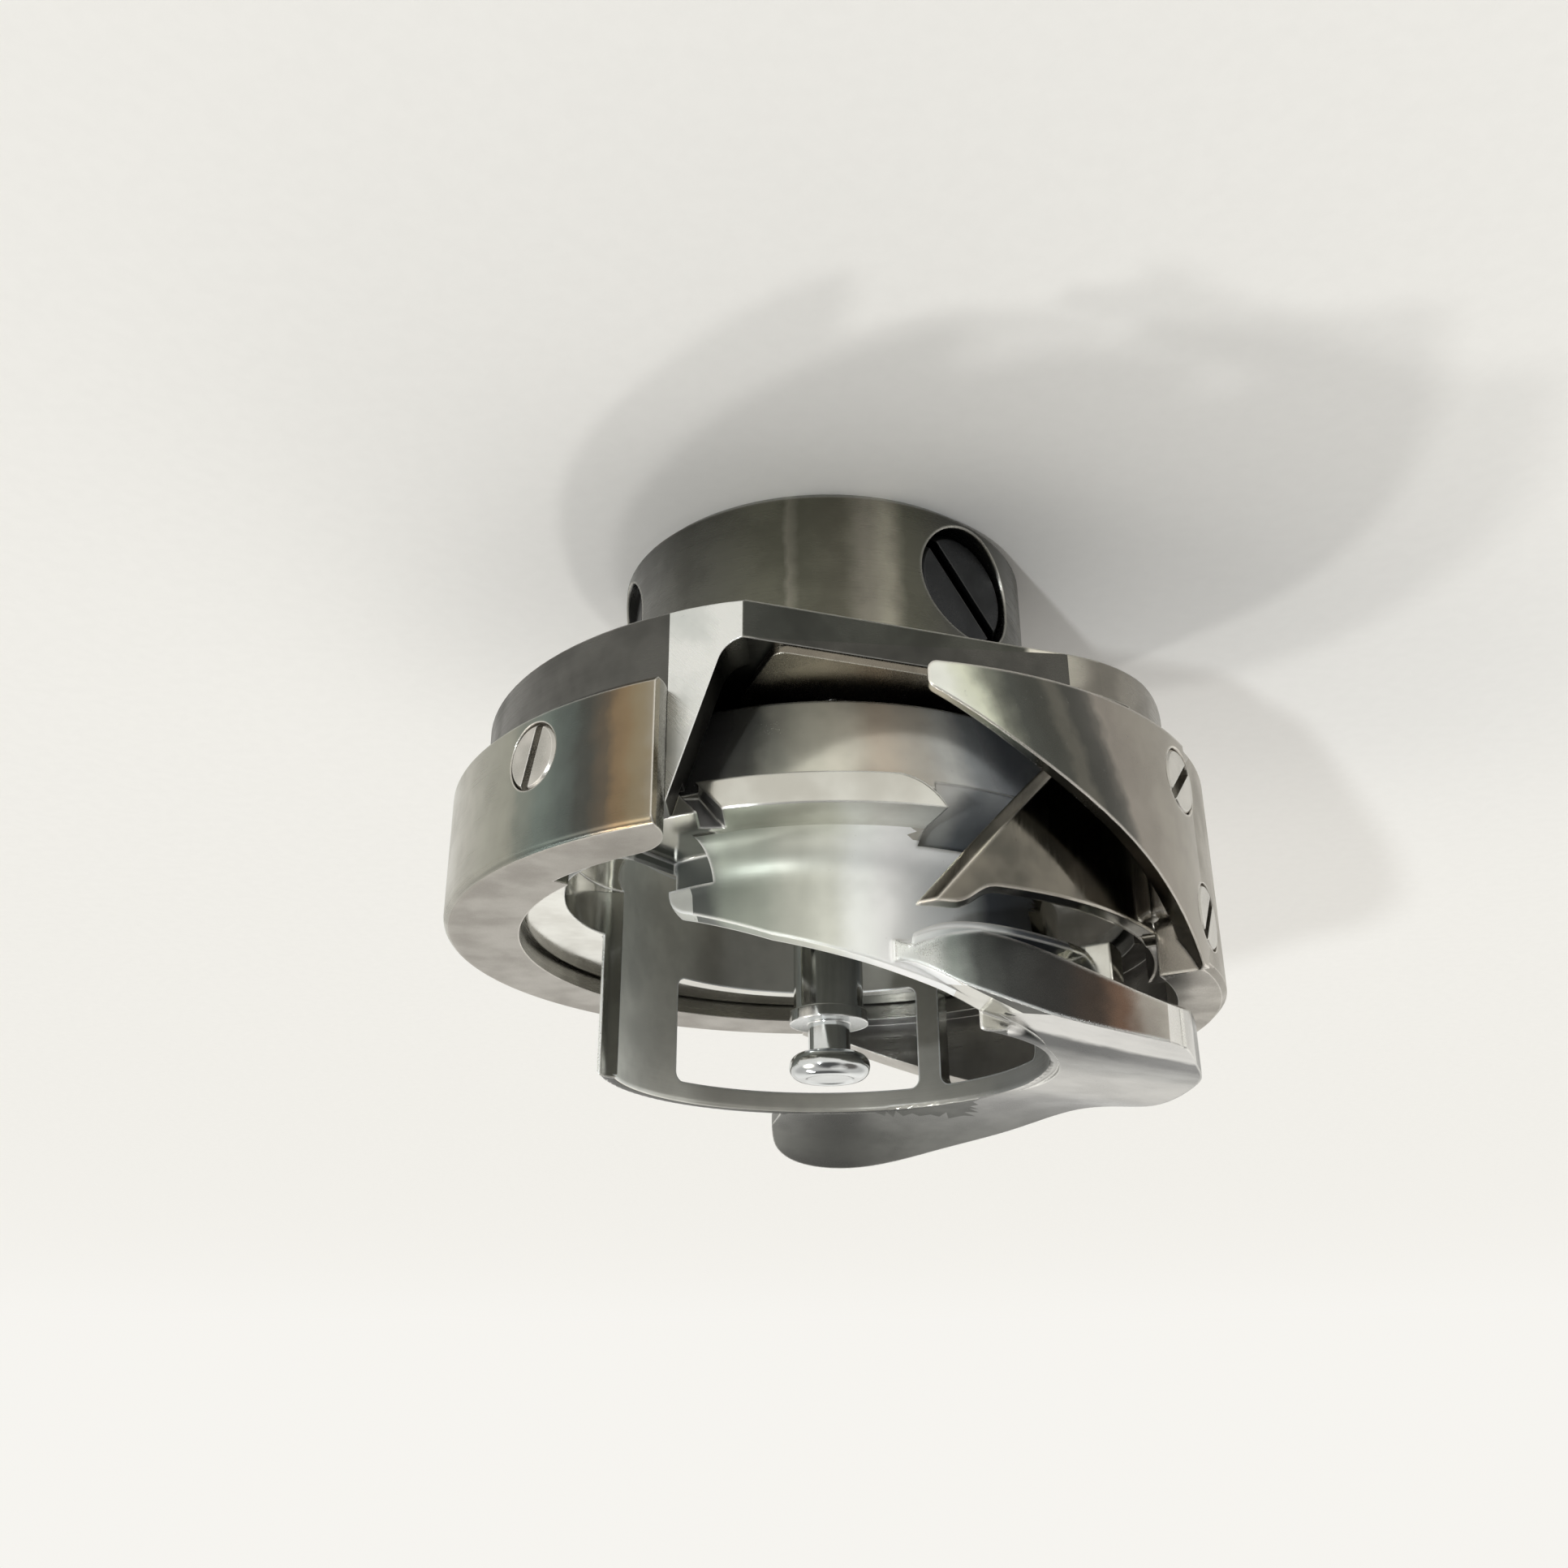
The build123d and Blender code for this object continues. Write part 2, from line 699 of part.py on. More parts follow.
with BuildPart() as basket:
    step_radius = gib_bore_radius - basket_shoulder_gap
    outer_edge, inner_edge = rim_edges
    with BuildSketch(axial_plane(0)) as profile:
        with BuildLine():
            Polyline(
                (0, basket_back),
                (basket_back_radius - basket_back_round, basket_back),
                (basket_back_radius, basket_back + basket_back_round),
                (basket_flank_radius, rib_rear),
                (rib_radius, rib_rear),
                (rib_radius, rib_front),
                (step_radius, rib_front),
                (step_radius, shoulder_front),
                (basket_outer_radius, shoulder_front),
                (basket_outer_radius, rim_front),
                (basket_bore_radius, rim_front),
                (basket_bore_radius, basket_inside),
                (0, basket_inside),
                close=True,
            )
        make_face()
        rim = profile.vertices().group_by(Axis.Y)[-1].sort_by(Axis.X)
        fillet(rim[1], outer_edge)
        rim = profile.vertices().group_by(Axis.Y)[-1].sort_by(Axis.X)
        fillet(rim[0], inner_edge)
    revolve(profile.sketch, axis=Axis.Z)

    # needle side: no shoulder, a gap in the rib, and a slanting notch at its other end
    ring_sector(
        basket_outer_radius, ring_radius, rib_front, above + rim_front,
        *needle_side, Mode.SUBTRACT,
    )
    foot_end = basket_outer_radius + tongue_foot_round
    foot_middle = tongue_foot_round * (1 - cos(radians(45)))
    with BuildSketch(axial_plane(needle_side[0])) as foot:
        with BuildLine():
            Polyline(
                (basket_outer_radius, rib_front + tongue_foot_round),
                (basket_outer_radius, rib_front),
                (foot_end, rib_front),
            )
            ThreePointArc(
                (foot_end, rib_front),
                (basket_outer_radius + foot_middle, rib_front + foot_middle),
                (basket_outer_radius, rib_front + tongue_foot_round),
            )
        make_face()
    revolve(foot.sketch, axis=Axis.Z, revolution_arc=needle_side[1] - needle_side[0])
    turned((
        (basket_flank_radius, rib_rear - rib_thickness / 4),
        (ring_radius, rib_rear - rib_thickness / 4),
        (ring_radius, rib_front + rib_thickness),
        (basket_outer_radius, rib_front + rib_thickness / 4),
    ), *rib_gap, Mode.SUBTRACT)
    slot_rear, slot_front, slot_width = rib_notch
    front_view_cut((
        (slot_rear, rib_rear),
        (slot_front, rib_front),
        (slot_front + slot_width, rib_front),
        (slot_rear + slot_width, rib_rear),
    ), -ring_radius, -basket_back_radius)
    # rounded end of the rib at the gap
    end_points = [(x, rib_rear + rise) for x, rise in rib_end]
    end_x, end_z = end_points[-1]
    with BuildSketch(Plane.XZ.offset(rib_end_depth)) as beyond_rib:
        with BuildLine():
            ThreePointArc(*end_points)
            Polyline(
                end_points[-1],
                (end_x - rib_end_depth, end_z),
                (end_x - rib_end_depth, rib_rear),
                end_points[0],
            )
        make_face()
    extrude(beyond_rib.sketch, amount=ring_radius, mode=Mode.SUBTRACT)

    # open side between the tongue and the column, and the pocket beside it
    end = radians(needle_side[1])
    with BuildSketch(Plane.XY.offset(shoulder_front)) as open_side:
        with BuildLine():
            ThreePointArc(*column_end)
            Polyline(
                column_end[-1],
                (0, 0),
                (2 * ring_radius * cos(end), 2 * ring_radius * sin(end)),
                (2 * ring_radius, column_end[0][1]),
                column_end[0],
            )
        make_face()
    extrude(open_side.sketch, amount=above, mode=Mode.SUBTRACT)
    with BuildSketch(Plane.XY.offset(rib_rear - side_pocket_depth)) as pocket:
        with BuildLine():
            Spline(*side_pocket)
            Polyline(side_pocket[-1], (0, 0), side_pocket[0])
        make_face()
    extrude(pocket.sketch, amount=above, mode=Mode.SUBTRACT)

    # milled notch at the end of the tongue
    notch_depth, notch_rise, notch_angle = tongue_notch
    ring_sector(
        basket_outer_radius - notch_depth, ring_radius, rib_front, disc_rear + notch_rise,
        notch_angle, needle_side[1], Mode.SUBTRACT,
    )

    # horn collar, its lip and the web under it
    add(horn_collar.part)
    add(collar_lip.part)
    web_radius, web_rise, web_drop, web_start, web_stop = horn_web
    ring_sector(
        basket_bore_radius, web_radius, disc_rear + web_rise, rim_front - web_drop,
        web_start, web_stop,
    )

    # windows in the wall
    add(window_cutters.part, mode=Mode.SUBTRACT)

    # slanting front edge of the tongue, rounded off at its end
    edge = [(x, disc_rear + rise) for x, rise in tongue_front]
    with BuildSketch(Plane.XZ.offset(basket_outer_radius - tongue_cut_depth)) as over_tongue:
        with BuildLine():
            Polyline(
                (tongue_end_x, shoulder_front),
                *edge,
                (edge[-1][0], above + rim_front),
                (ring_radius, above + rim_front),
                (ring_radius, shoulder_front),
                close=True,
            )
        make_face()
        tongue_corner = over_tongue.vertices().sort_by_distance(edge[0])[0]
        fillet(tongue_corner, tongue_corner_round)
    extrude(over_tongue.sketch, amount=ring_radius, mode=Mode.SUBTRACT)

    # seat of the latch stud
    with BuildSketch(Plane.XY) as stud_hole:
        Circle(stud_radius + stud_fit)
    extrude(stud_hole.sketch, amount=basket_inside, mode=Mode.SUBTRACT)
save(basket, "basket")
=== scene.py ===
import math

import bmesh
import bpy
from mathutils import Matrix, Vector


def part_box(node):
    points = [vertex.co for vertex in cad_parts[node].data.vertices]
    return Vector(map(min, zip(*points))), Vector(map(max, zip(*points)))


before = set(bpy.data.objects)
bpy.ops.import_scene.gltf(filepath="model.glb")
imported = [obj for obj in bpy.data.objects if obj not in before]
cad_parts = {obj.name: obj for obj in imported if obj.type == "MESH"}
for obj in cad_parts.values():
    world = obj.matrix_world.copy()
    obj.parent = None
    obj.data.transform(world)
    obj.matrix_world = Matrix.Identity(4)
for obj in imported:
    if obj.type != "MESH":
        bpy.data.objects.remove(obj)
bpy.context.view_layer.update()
MM = 0.001

# ---- places --------------------------------------------------------------------------------

# Radii and heights that tell the finishes apart. Heights run along +Z, from the hub's end face.
HUB_RADIUS = 12.5 * MM
DISC_RADIUS = 20.2 * MM
DISC_REAR = 11.3 * MM
DISC_MIDDLE = DISC_REAR + MM
RING_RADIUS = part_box("hook_gib")[1].x
RING_INSIDE = DISC_RADIUS - 0.8 * MM
RING_REAR = 15.6 * MM
RACE_RADIUS = RING_RADIUS - 3.9 * MM
FACET_INSIDE = 19.0 * MM
BASKET_BORE = 12.25 * MM
FLANK_RADIUS = 17.4 * MM
FLANK_FRONT = 22.0 * MM
COLUMN_REAR = 23.0 * MM
TONGUE_REAR = 21.52 * MM
TONGUE_REAR_PAST_RIB = 21.8 * MM
TONGUE_FRONT = 29.0 * MM
RIM_REAR = 30.0 * MM
# The collar's faces lie left of an X and past a height, or beyond a Y and past another height
COLLAR_LEFT_X, COLLAR_LEFT_REAR = -9.0 * MM, 28.6 * MM
COLLAR_FAR_Y, COLLAR_FAR_REAR = 12.6 * MM, 26.0 * MM
# The horn's flat face lies in a plane square to Y and ends at an X
HORN_FACE_Y, HORN_END_X = -13.3 * MM, -2.0 * MM
# How far the middle of a face may lie off the round or flat surface it belongs to
OFF_ROUND, OFF_FLAT = 0.1 * MM, 0.05 * MM
# Bearings in degrees round the shaft axis from the front, -Y, growing toward +X. The heel runs
# over 180.
POINT_START, POINT_END = -61.0, 0.0
HEEL_START, HEEL_END = 170.0, -60.0
FACET_START, FACET_END = 8.0, 22.0
COLUMN_START, COLUMN_END = 31.0, 100.0
TONGUE_HALF = 55.0
RIB_END = -17.0
# The least part of a face's normal along the direction that the face looks square on to
SQUARE_ON = 0.9
# Limits for parts of a normal: along X, Y or Z, or outward from the shaft axis
FACET_X, FACET_Z = 0.1, 0.5
FLAT_X, FLAT_Y = -0.3, -0.85
BORE_OUTWARD, TONGUE_OUTWARD, FLANK_OUTWARD = -0.6, -0.3, 0.1


# ---- node helpers ------------------------------------------------------------------------

# Sockets of a colour mix node, which shares its names between number, vector and colour
MIX_FACTOR, MIX_A, MIX_B, MIX_RESULT = 0, 6, 7, 2


class Nodes:
    """A short way to build the nodes of a material or of the world."""

    def __init__(self, owner):
        owner.use_nodes = True
        self.tree = owner.node_tree
        self.tree.nodes.clear()

    def add(self, kind, settings=None, **inputs):
        node = self.tree.nodes.new(kind)
        for key, value in (settings or {}).items():
            setattr(node, key, value)
        for key, value in inputs.items():
            self.put(node.inputs[key.replace("_", " ")], value)
        return node

    def put(self, socket, value):
        if isinstance(value, bpy.types.NodeSocket):
            self.tree.links.new(value, socket)
        else:
            socket.default_value = value

    def math(self, operation, *values, clamp=False):
        node = self.tree.nodes.new("ShaderNodeMath")
        node.operation = operation
        node.use_clamp = clamp
        for socket, value in zip(node.inputs, values):
            self.put(socket, value)
        return node.outputs[0]

    def spread(self, value, low, high, to_low=0.0, to_high=1.0):
        """Map a value from one range to another, with soft ends."""
        node = self.add("ShaderNodeMapRange", {"interpolation_type": "SMOOTHSTEP"})
        for socket, number in zip(node.inputs, (value, low, high, to_low, to_high)):
            self.put(socket, number)
        return node.outputs[0]

    def mix(self, factor, first, second, blend="MIX"):
        node = self.add("ShaderNodeMix", {"data_type": "RGBA", "blend_type": blend})
        for index, value in ((MIX_FACTOR, factor), (MIX_A, first), (MIX_B, second)):
            self.put(node.inputs[index], value)
        return node.outputs[MIX_RESULT]

    def dot(self, first, second):
        node = self.add("ShaderNodeVectorMath", {"operation": "DOT_PRODUCT"})
        self.put(node.inputs[0], first)
        self.put(node.inputs[1], second)
        return node.outputs["Value"]


class Shader(Nodes):
    """The nodes of a material, laid out by the object's own coordinates."""

    def __init__(self, name):
        self.material = bpy.data.materials.new(name)
        super().__init__(self.material)
        self.coords = self.add("ShaderNodeTexCoord").outputs["Object"]

    def split(self):
        """Object coordinates x, y, z and the distance from the shaft axis, in millimetres."""
        xyz = self.add("ShaderNodeSeparateXYZ", Vector=self.coords).outputs
        x, y, z = (self.math("DIVIDE", axis, MM) for axis in xyz)
        squares = self.math("ADD", self.math("MULTIPLY", x, x), self.math("MULTIPLY", y, y))
        return x, y, z, self.math("SQRT", squares)

    def bearing(self, x, y):
        """Degrees round the shaft axis from the front, -Y, growing toward +X."""
        return self.math("DEGREES", self.math("ARCTAN2", x, self.math("MULTIPLY", y, -1.0)))

    def tint(self, value, stops):
        """Colours along a value, as pairs of a number and a colour, lowest number first."""
        low, high = stops[0][0], stops[-1][0]
        node = self.add("ShaderNodeValToRGB")
        node.color_ramp.interpolation = "EASE"
        elements = node.color_ramp.elements
        while len(elements) < len(stops):
            elements.new(1.0)
        for element, (number, colour) in zip(elements, stops):
            element.position = (number - low) / (high - low)
            element.color = rgb(*colour)
        share = self.math("DIVIDE", self.math("SUBTRACT", value, low), high - low)
        self.put(node.inputs[0], share)
        return node.outputs[0]

    def vector(self, x, y, z):
        return self.add("ShaderNodeCombineXYZ", X=x, Y=y, Z=z).outputs[0]

    def noise(self, vector, scale, detail=3.0, rough=0.5):
        node = self.add(
            "ShaderNodeTexNoise", Vector=vector, Scale=scale, Detail=detail, Roughness=rough,
        )
        return node.outputs["Factor"] if "Factor" in node.outputs else node.outputs["Fac"]

    def finish(self, surface):
        """Join a surface to the output, and hand back the material."""
        output = self.add("ShaderNodeOutputMaterial")
        self.put(output.inputs["Surface"], surface)
        return self.material


def rgb(red, green, blue):
    return (red, green, blue, 1.0)


def heading(azimuth, elevation):
    """The direction toward an azimuth and an elevation in degrees."""
    flat = math.cos(math.radians(elevation))
    turn = math.radians(azimuth)
    return (flat * math.cos(turn), flat * math.sin(turn), math.sin(math.radians(elevation)))


# Scales of the noises, as repeats in a millimetre
TURNED_SCALE, BRUSHED_SCALE, FINE_SCALE = 9.0, 7.0, 14.0
SWAY_SCALE, CLOUD_SCALE, SPECK_SCALE, WANDER_SCALE = 0.5, 0.28, 2.6, 0.8
# How far brushed lines sway, in millimetres
SWAY = 0.6
# Height of the grain
GRAIN_HEIGHT = 0.02 * MM
BEVEL_SAMPLES = 6
# An edge takes the edge colour, part wear and part painted highlight, where its bevelled normal
# turns from the face's: their dot product
EDGE_START, EDGE_FULL = 0.995, 0.86
# Bands of the noises that turn into stains, flecks and roughness
STAIN_BAND = (0.35, 0.68)
FLECK_BAND = (0.66, 0.74)
FLECK_SHARE = 0.35
FLECK_SHADE = 0.55
ROUGH_BAND = (0.3, 0.7)
# How far the borders of tints wander, in degrees of bearing and in millimetres
WANDER_DEGREES, WANDER_MM = 3.0, 1.0


def machining(sh, grain, direction, millimetres, reach, z):
    """The grain of a surface: turned round the shaft, brushed across a direction, or fine."""
    if grain == "turned":
        return sh.noise(sh.vector(reach, 0.0, z), TURNED_SCALE, detail=4.0, rough=0.75)
    if grain == "brushed":
        across = sh.dot(millimetres, direction)
        sway = sh.math("MULTIPLY", sh.noise(millimetres, SWAY_SCALE), SWAY)
        swayed = sh.vector(sh.math("ADD", across, sway), 0.0, 0.0)
        return sh.noise(swayed, BRUSHED_SCALE, detail=4.0, rough=0.8)
    return sh.noise(millimetres, FINE_SCALE, detail=4.0, rough=0.65)


def metal(
    name, colour, second, roughness, spread=0.06, grain="fine", grain_depth=0.3,
    edge=None, edge_width=0.12, anisotropy=0.0, direction=(1.0, 0.0, 0.0),
    painted_light_tints=None, along="bearing", lean=(0.0, 0.0), metallic=1.0, grazing=None,
):
    """Steel with machining grain, stains, small flecks and bright edges, part wear and part painted
    highlight.

    The tints give the colour along X, Y or the bearing: painted reflections, painted highlights and
    painted shade. lean is a share and a level: the place shifts by that share of the height above
    that level, in millimetres.
    """
    sh = Shader(name)
    x, y, z, reach = sh.split()
    millimetres = sh.vector(x, y, z)
    lines = machining(sh, grain, direction, millimetres, reach, z)
    clouds = sh.noise(millimetres, CLOUD_SCALE, rough=0.55)
    specks = sh.noise(millimetres, SPECK_SCALE, detail=5.0, rough=0.7)

    stain = sh.spread(clouds, *STAIN_BAND)
    if painted_light_tints:
        place = {"x": x, "y": y, "bearing": sh.bearing(x, y)}[along]
        share, level = lean
        if share:
            shift = sh.math("MULTIPLY", sh.math("SUBTRACT", z, level), share)
            place = sh.math("ADD", place, shift)
        wander = sh.math("SUBTRACT", sh.noise(millimetres, WANDER_SCALE), 0.5)
        furthest = WANDER_DEGREES if along == "bearing" else WANDER_MM
        place = sh.math("ADD", place, sh.math("MULTIPLY", wander, furthest))
        duller = sum(second) / sum(colour)
        # Painted reflections, highlights and shade, fixed to the object
        painted_light_colours = sh.tint(place, painted_light_tints)
        colours = sh.mix(stain, painted_light_colours, rgb(duller, duller, duller), blend="MULTIPLY")
    else:
        colours = sh.mix(stain, rgb(*colour), rgb(*second))
    fleck = sh.spread(specks, *FLECK_BAND, 0.0, FLECK_SHARE)
    colours = sh.mix(fleck, colours, rgb(*(FLECK_SHADE * part for part in second)))
    fine = sh.spread(lines, *ROUGH_BAND, -spread, spread)
    coarse = sh.spread(clouds, *ROUGH_BAND, -spread, spread)
    shine = sh.math("ADD", sh.math("ADD", fine, coarse), roughness)

    bevel = sh.add("ShaderNodeBevel", {"samples": BEVEL_SAMPLES}, Radius=edge_width * MM)
    rounded = bevel.outputs[0]
    # The edge colour is partly worn bare metal and partly a painted highlight along rounded edges
    if edge:
        face_normal = sh.add("ShaderNodeNewGeometry").outputs["Normal"]
        wear_and_highlight = sh.spread(sh.dot(rounded, face_normal), EDGE_START, EDGE_FULL)
        colours = sh.mix(wear_and_highlight, colours, rgb(*edge))
    bump = sh.add(
        "ShaderNodeBump", Strength=grain_depth, Distance=GRAIN_HEIGHT, Height=lines,
        Normal=rounded,
    )
    surface = sh.add(
        "ShaderNodeBsdfPrincipled", Base_Color=colours, Metallic=metallic, Roughness=shine,
        Normal=bump.outputs[0],
    )
    if grazing:
        surface.inputs["Specular Tint"].default_value = rgb(*grazing)
    if anisotropy:
        surface.inputs["Anisotropic"].default_value = anisotropy
        tangent = sh.add("ShaderNodeTangent", {"direction_type": "RADIAL", "axis": "Z"})
        sh.put(surface.inputs["Tangent"], tangent.outputs[0])
    return sh.finish(surface.outputs[0])


# ---- materials ---------------------------------------------------------------------------

# The tints are fixed to the object. They follow light and dark areas of the photo that are
# reflections of its room: they are painted reflections, painted highlights and painted shade,
# so another light may call for plainer ones.
GREY = (0.42, 0.4, 0.36)
# The disc: dark and satin, paler from -110 to -50 degrees, with a painted highlight: a bright
# step that leans where the needle flat runs out
RUN_OUT_LEAN = (-1.3, 12.3)
RUN_OUT_HIGHLIGHT = (
    (-180.0, (0.14, 0.137, 0.13)), (-110.0, (0.18, 0.17, 0.157)), (-66.0, (0.26, 0.245, 0.22)),
    (-50.0, (0.27, 0.255, 0.225)), (-42.5, (0.5, 0.48, 0.42)), (-40.5, (0.92, 0.89, 0.78)),
    (-36.4, (0.92, 0.89, 0.78)), (-35.0, (0.1, 0.1, 0.092)),
)
# The hub: dark satin, with painted highlights: pale vertical streaks near -17 and 8 degrees
hub_steel = metal(
    "hub_steel", (0.17, 0.16, 0.14), (0.13, 0.12, 0.105), 0.28, grain="turned",
    edge=(0.5, 0.49, 0.45), edge_width=0.3, anisotropy=0.6, painted_light_tints=(
        (-180.0, (0.15, 0.145, 0.13)), (-40.0, (0.12, 0.12, 0.11)), (-23.0, (0.15, 0.15, 0.12)),
        (-17.0, (0.42, 0.4, 0.33)), (-12.0, (0.3, 0.285, 0.24)), (-5.0, (0.17, 0.165, 0.13)),
        (6.0, (0.16, 0.16, 0.125)), (8.0, (0.3, 0.29, 0.24)), (10.0, (0.16, 0.16, 0.125)),
        (36.0, (0.13, 0.13, 0.115)), (60.0, (0.24, 0.24, 0.23)), (180.0, (0.15, 0.145, 0.13)),
    ),
)
disc_steel = metal(
    "disc_steel", (0.14, 0.137, 0.13), (0.1, 0.1, 0.093), 0.34, grain="turned",
    edge=(0.6, 0.59, 0.55), edge_width=0.12, anisotropy=0.4, lean=RUN_OUT_LEAN,
    painted_light_tints=RUN_OUT_HIGHLIGHT + ((60.0, (0.13, 0.128, 0.12)), (180.0, (0.14, 0.137, 0.13))),
)
# The needle flat: dark, with the same painted highlight where it runs out
flat_steel = metal(
    "flat_steel", (0.075, 0.078, 0.07), (0.05, 0.052, 0.048), 0.3, grain="brushed",
    direction=(0.0, 0.0, 1.0), edge=(0.8, 0.79, 0.72), edge_width=0.2, lean=RUN_OUT_LEAN,
    painted_light_tints=RUN_OUT_HIGHLIGHT[:-1] + ((-35.0, (0.09, 0.092, 0.08)), (20.0, (0.07, 0.073, 0.066))),
)
facet_steel = metal(
    "facet_steel", (0.85, 0.86, 0.84), (0.66, 0.68, 0.66), 0.3, grain="brushed", grain_depth=0.8,
    direction=(0.75, 0.0, 0.66), edge=(0.95, 0.95, 0.93),
)
race_steel = metal(
    "race_steel", (0.1, 0.098, 0.09), (0.06, 0.06, 0.055), 0.32, grain="turned",
    edge=(0.5, 0.5, 0.48),
)
# The hook point: painted reflections, a dark middle and a pale tip on the polished steel, with
# grey all the rest of the way round, and a painted highlight along its edges
POINT_LEAN = (1.0, 18.0)
POINT_REFLECTIONS = (
    (-180.0, GREY), (-70.0, (0.38, 0.355, 0.31)), (-50.0, (0.34, 0.315, 0.275)),
    (-39.0, (0.3, 0.275, 0.245)), (-37.5, (0.1, 0.098, 0.09)), (-34.0, (0.08, 0.08, 0.073)),
    (-31.7, (0.15, 0.145, 0.125)), (-29.0, (0.08, 0.082, 0.073)), (-25.0, (0.1, 0.105, 0.095)),
    (-22.5, (0.24, 0.25, 0.21)), (-19.5, (0.8, 0.83, 0.68)), (-16.0, (0.92, 0.94, 0.88)),
    (180.0, GREY),
)
point_steel = metal(
    "point_steel", (0.62, 0.61, 0.58), (0.52, 0.51, 0.48), 0.2, spread=0.05,
    edge=(0.97, 0.93, 0.86), edge_width=0.26, grain_depth=0.12, painted_light_tints=POINT_REFLECTIONS, lean=POINT_LEAN,
)
# The heel shares the point's painted reflections
heel_steel = metal(
    "heel_steel", (0.52, 0.49, 0.475), (0.42, 0.395, 0.38), 0.36, spread=0.07,
    edge=(0.9, 0.88, 0.83), edge_width=0.14, grain_depth=0.3, painted_light_tints=POINT_REFLECTIONS, lean=POINT_LEAN,
)
# The gib: painted reflections round its outside, brown, dark and teal bands from 20 to 46 degrees
gib_steel = metal(
    "gib_steel", (0.5, 0.46, 0.43), (0.42, 0.385, 0.36), 0.22, grain="turned", grain_depth=0.15,
    edge=(0.85, 0.82, 0.76), edge_width=0.16, anisotropy=0.4, painted_light_tints=(
        (-180.0, GREY), (0.0, GREY), (20.0, (0.34, 0.31, 0.25)), (23.5, (0.28, 0.23, 0.15)),
        (26.0, (0.26, 0.185, 0.11)), (28.5, (0.13, 0.11, 0.085)), (31.5, (0.085, 0.088, 0.08)),
        (35.0, (0.12, 0.14, 0.13)), (39.0, (0.18, 0.215, 0.195)), (43.0, (0.22, 0.24, 0.21)),
        (46.0, (0.33, 0.33, 0.28)), (60.0, (0.42, 0.41, 0.36)), (180.0, GREY),
    ),
)
gib_face_steel = metal(
    "gib_face_steel", (0.39, 0.37, 0.335), (0.32, 0.3, 0.27), 0.42, grain="fine",
    edge=(0.8, 0.77, 0.72), edge_width=0.16,
)
# The gib's bore: darker than its outside, painted shade inside the ring
gib_bore_steel = metal(
    "gib_bore_steel", (0.26, 0.25, 0.22), (0.2, 0.19, 0.17), 0.3, grain="turned",
    edge=(0.75, 0.73, 0.68), edge_width=0.16,
)
# The thread guard: dark brown, with bright edges, part wear and part painted highlight
guard_steel = metal(
    "guard_steel", (0.2, 0.185, 0.155), (0.11, 0.105, 0.09), 0.14, grain="brushed",
    grain_depth=0.12, direction=(0.94, 0.34, 0.0), edge=(0.97, 0.92, 0.83), edge_width=0.3,
)
plate_steel = metal(
    "plate_steel", (0.3, 0.27, 0.22), (0.2, 0.18, 0.15), 0.24,
    edge=(0.8, 0.78, 0.7), edge_width=0.1,
)
screw_steel = metal(
    "screw_steel", (0.62, 0.6, 0.56), (0.42, 0.41, 0.38), 0.22, grain="fine", grain_depth=0.4,
    edge=(0.9, 0.89, 0.85), edge_width=0.1,
)
black_steel = metal(
    "black_steel", (0.045, 0.047, 0.05), (0.025, 0.026, 0.028), 0.34, grain="fine",
    grain_depth=0.5, edge=(0.12, 0.12, 0.12), edge_width=0.12,
)
CHROME = (0.74, 0.74, 0.69)
CHROME_STAINED = (0.6, 0.59, 0.54)
chrome = metal(
    "chrome", CHROME, CHROME_STAINED, 0.12, spread=0.04, grain_depth=0.05,
    edge=(0.96, 0.96, 0.93), edge_width=0.2,
)
# The basket's side: polished, with painted reflections: dark patches near -37 and 21 degrees
flank_steel = metal(
    "flank_steel", CHROME, CHROME_STAINED, 0.2, spread=0.04, grain_depth=0.05,
    metallic=0.7, edge=(0.96, 0.96, 0.93), edge_width=0.2, painted_light_tints=(
        (-180.0, CHROME), (-70.0, (0.6, 0.6, 0.57)), (-37.0, (0.15, 0.165, 0.19)),
        (-29.0, (0.3, 0.32, 0.34)), (-23.0, (0.66, 0.67, 0.65)), (-17.0, (0.56, 0.53, 0.47)),
        (-10.0, (0.66, 0.58, 0.48)), (-4.0, (0.84, 0.81, 0.7)), (3.0, (0.8, 0.79, 0.68)),
        (9.0, (0.6, 0.6, 0.52)), (14.0, (0.22, 0.22, 0.2)), (21.0, (0.12, 0.12, 0.12)),
        (40.0, (0.3, 0.3, 0.28)), (110.0, (0.4, 0.4, 0.37)), (180.0, CHROME),
    ),
)
stud_chrome = metal(
    "stud_chrome", (0.72, 0.74, 0.74), (0.6, 0.62, 0.62), 0.09, spread=0.03, grain_depth=0.05,
    edge=(0.96, 0.96, 0.95), edge_width=0.15,
)
# The basket's tongue: satin, with painted reflections: whitest under the rib's end, duller and
# greenish toward +X
tongue_steel = metal(
    "tongue_steel", (0.8, 0.82, 0.76), (0.7, 0.71, 0.66), 0.4, spread=0.05, grain="brushed",
    direction=(0.0, 0.0, 1.0), grain_depth=0.15, edge=(0.97, 0.97, 0.94), edge_width=0.3,
    metallic=0.5, painted_light_tints=(
        (-60.0, (0.2, 0.21, 0.22)), (-39.0, (0.16, 0.175, 0.2)), (-34.0, (0.6, 0.63, 0.63)),
        (-28.0, (0.95, 0.97, 0.97)), (-13.5, (0.98, 0.98, 0.97)), (-7.5, (0.95, 0.97, 0.94)),
        (0.0, (0.72, 0.73, 0.65)), (6.0, (0.55, 0.56, 0.49)), (15.5, (0.36, 0.385, 0.33)),
        (22.0, (0.32, 0.35, 0.3)), (28.0, (0.13, 0.14, 0.13)), (60.0, (0.2, 0.21, 0.2)),
    ),
)
